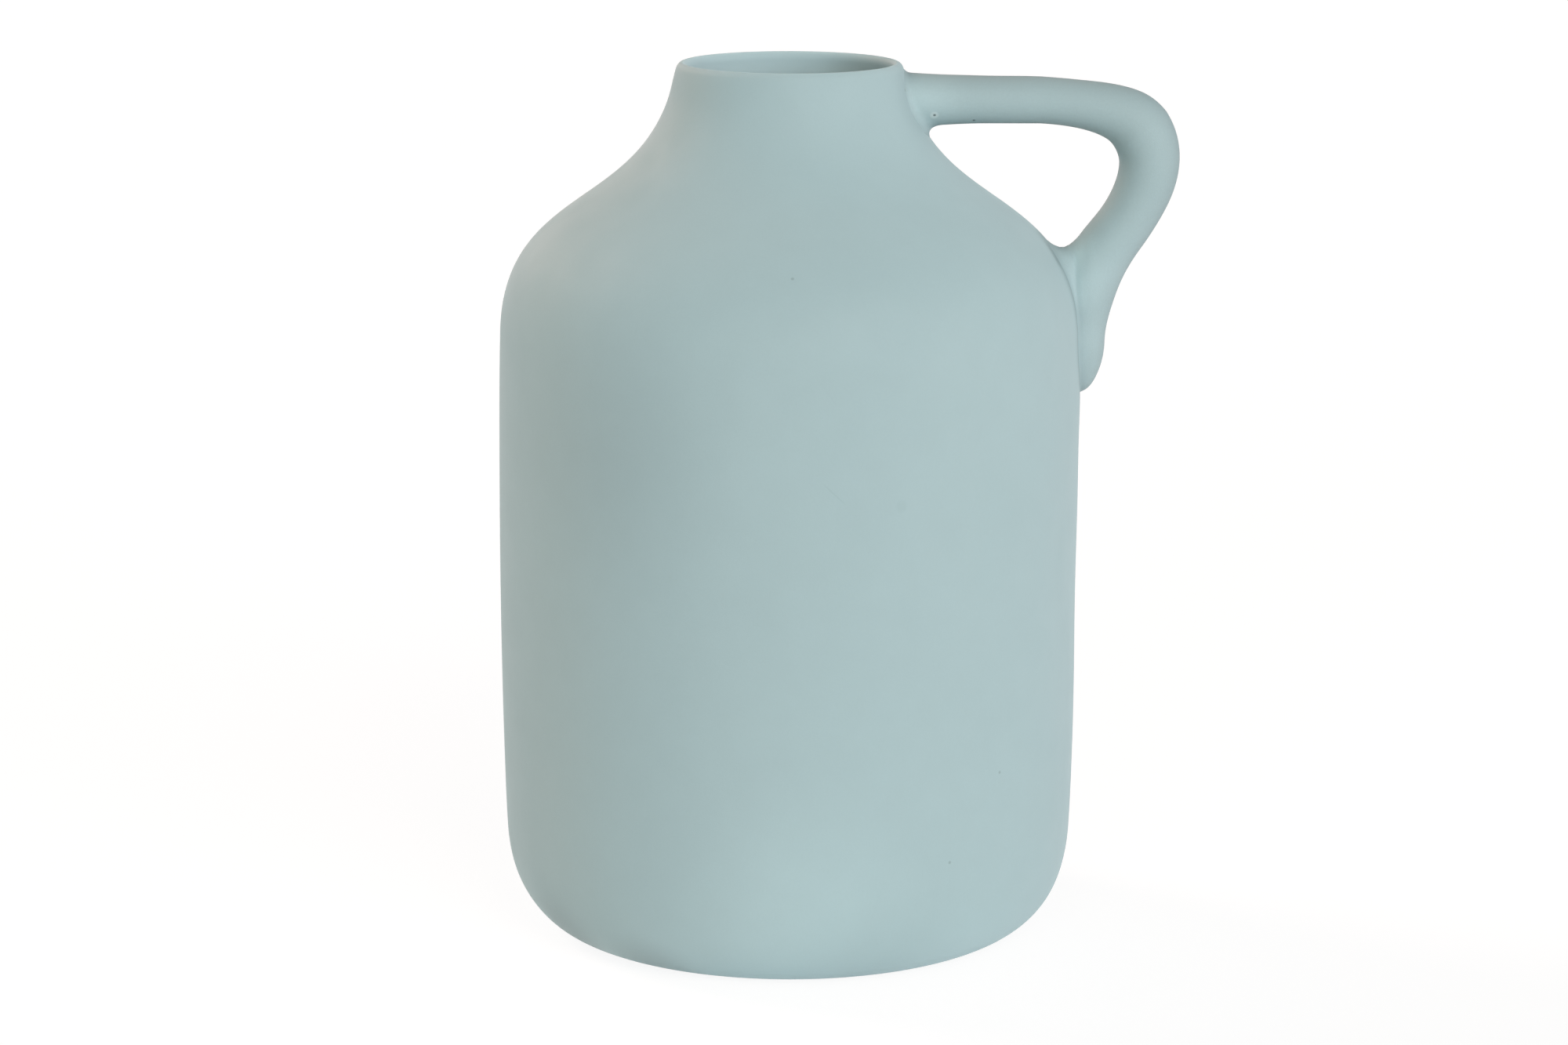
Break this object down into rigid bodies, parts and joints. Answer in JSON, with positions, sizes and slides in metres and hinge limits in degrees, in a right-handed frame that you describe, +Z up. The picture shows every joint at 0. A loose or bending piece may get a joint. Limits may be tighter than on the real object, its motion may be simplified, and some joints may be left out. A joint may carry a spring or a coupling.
{
  "type": "handled vase",
  "caption": "Tall round stoneware vase with a narrow neck and one bent side handle, hollow and open at the top, in a matte pale blue-green glaze.",
  "frame": {"origin": "centre of the flat foot, on the surface that the vase stands on", "axes": "+Z up along the pot's own axis, out of the mouth; +X from the axis towards the handle, which lies in the plane Y = 0"},
  "size_m": [0.2321, 0.1994, 0.3],
  "materials": {
    "body_glaze": "matte",
    "handle_glaze": "matte",
    "joint_slip": "matte"
  },
  "bodies": {
    "root": {"vase_body": "body_glaze", "handle": "handle_glaze", "upper_slip_joint": "joint_slip", "lower_slip_joint": "joint_slip"}
  },
  "joints": []
}
